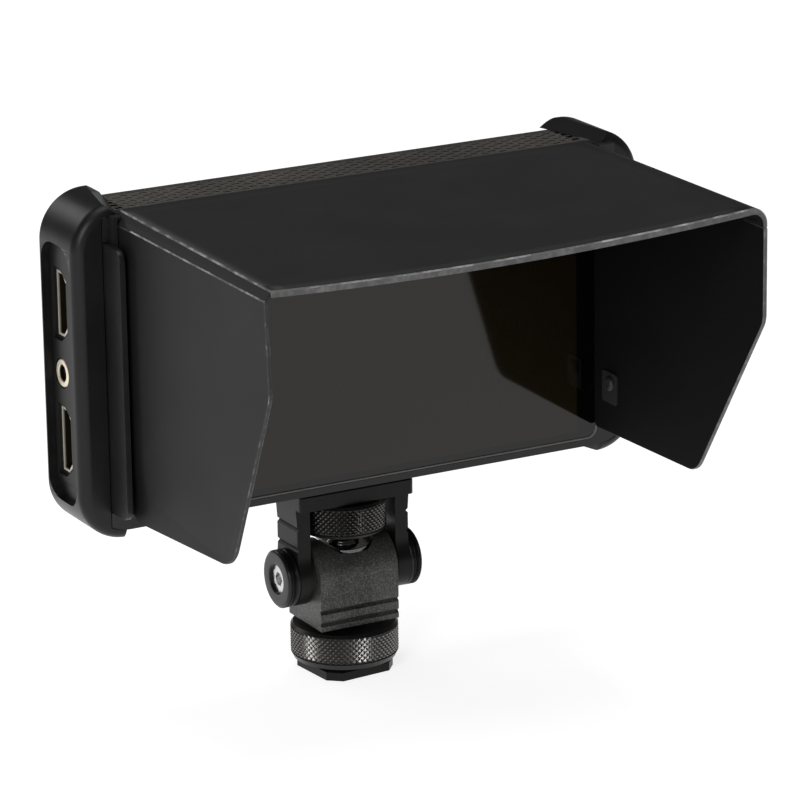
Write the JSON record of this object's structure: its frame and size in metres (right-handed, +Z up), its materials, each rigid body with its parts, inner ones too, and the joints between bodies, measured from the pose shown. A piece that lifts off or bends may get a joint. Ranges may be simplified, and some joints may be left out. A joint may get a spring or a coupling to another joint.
{
  "type": "camera field monitor with sun hood",
  "caption": "Small camera-top field monitor with a folding sun hood, rubber end caps, video sockets on one end and a tilting accessory-shoe mount.",
  "frame": {"origin": "centre of the underside of the shoe foot", "axes": "+X along the screen's width to the viewer's right, +Y away from the viewer, +Z up"},
  "size_m": [0.1452, 0.0999, 0.1241],
  "materials": {
    "moulded": "fine matt texture",
    "bumper": "soft satin",
    "screen_glass": "polished",
    "display": "satin",
    "grille": "dark matt",
    "board": "solder mask",
    "socket_shell": "satin plated",
    "black_insert": "matt",
    "gold": "plated",
    "spreader": "rolled",
    "steel": "machined",
    "anodised": "black anodised",
    "hood_board": "matt laminated",
    "hood_hinge": "coated cloth",
    "pad": "matt"
  },
  "bodies": {
    "base": {"shoe_foot": "anodised", "tilt_block": "anodised", "stem_screw": "steel", "tab_washer": "steel", "screw_washer": "steel", "pivot_screws": "steel", "friction_washers": "black_insert"},
    "clamp_disc": {"clamp_washer": "steel"},
    "lock_ring": {"lock_ring": "anodised"},
    "stud_ring": {"stud_ring": "steel"},
    "thumb_wheel": {"thumb_wheel": "anodised", "mounting_stud": "steel"},
    "hood": {"hood_top_panel": "hood_board", "left_hinge_spine": "hood_hinge", "right_hinge_strip": "hood_hinge", "left_rail": "moulded", "right_rail": "moulded"},
    "hood_left": {"hood_left_panel": "hood_board", "left_hood_clip": "black_insert", "left_hood_rivet": "black_insert"},
    "hood_right": {"hood_right_panel": "hood_board", "right_hood_clip": "black_insert", "right_hood_rivet": "black_insert"},
    "battery_latch": {"battery_latch": "moulded"},
    "power_button": {"power_button": "moulded"},
    "monitor": {"front_frame": "moulded", "rear_housing": "moulded", "battery_plate": "moulded", "left_bumper": "bumper", "right_bumper": "bumper", "cover_glass": "screen_glass", "lcd_panel": "display", "top_grille": "grille", "main_board": "board", "hdmi_input_socket": "socket_shell", "hdmi_output_socket": "socket_shell", "hdmi_tongues": "black_insert", "headphone_jack": "black_insert", "dc_socket": "black_insert", "contact_block": "black_insert", "power_switch": "black_insert", "jack_collar": "gold", "battery_contacts": "gold", "thread_bush": "gold", "heat_spreader": "spreader", "board_screws": "steel", "plate_screws": "steel", "housing_screws": "steel", "yoke": "anodised", "left_pivot_cap": "anodised", "right_pivot_cap": "anodised", "mount_pad": "pad"}
  },
  "joints": [
    {"name": "tilt", "type": "hinge", "parent": "base", "child": "monitor", "pos_m": [0, 0, 0.0245], "axis": [1, 0, 0], "range_deg": [-90, 90]},
    {"name": "clamp_travel", "type": "slide", "parent": "base", "child": "clamp_disc", "axis": [0, 0, 1], "range_m": [-0.0001874, 0.0007499]},
    {"name": "lock_ring_turn", "type": "hinge", "parent": "clamp_disc", "child": "lock_ring", "pos_m": [0, 0, 0.0075], "axis": [0, 0, 1], "range_deg": [-90, 360]},
    {"name": "stud_travel", "type": "slide", "parent": "monitor", "child": "stud_ring", "axis": [0, 0, 1], "range_m": [-0.0006349, 0]},
    {"name": "wheel_turn", "type": "hinge", "parent": "stud_ring", "child": "thumb_wheel", "pos_m": [0, 0, 0.0385], "axis": [0, 0, 1], "range_deg": [-180, 0]},
    {"name": "hood_slide", "type": "slide", "parent": "monitor", "child": "hood", "axis": [0, -1, 0], "range_m": [0, 0.012]},
    {"name": "left_panel_fold", "type": "hinge", "parent": "hood", "child": "hood_left", "pos_m": [-0.0624, -0.0146, 0.1193], "axis": [0, -1, -0.0083], "range_deg": [0, 86]},
    {"name": "right_panel_fold", "type": "hinge", "parent": "hood", "child": "hood_right", "pos_m": [0.0604, -0.0146, 0.1179], "axis": [0, 1, 0.0083], "range_deg": [0, 82]},
    {"name": "latch_press", "type": "slide", "parent": "monitor", "child": "battery_latch", "axis": [0, -1, 0], "range_m": [0, 0.002], "stiffness_N_per_m": 600, "springref_m": -0.002},
    {"name": "power_press", "type": "slide", "parent": "monitor", "child": "power_button", "axis": [0, -1, 0], "range_m": [0, 0.0005], "stiffness_N_per_m": 1500, "springref_m": -0.0005}
  ],
  "couplings": [
    {"joint": "lock_ring_turn", "follows": "clamp_travel", "rad_per_m": 8377.6},
    {"joint": "wheel_turn", "follows": "stud_travel", "rad_per_m": 4947.4}
  ]
}
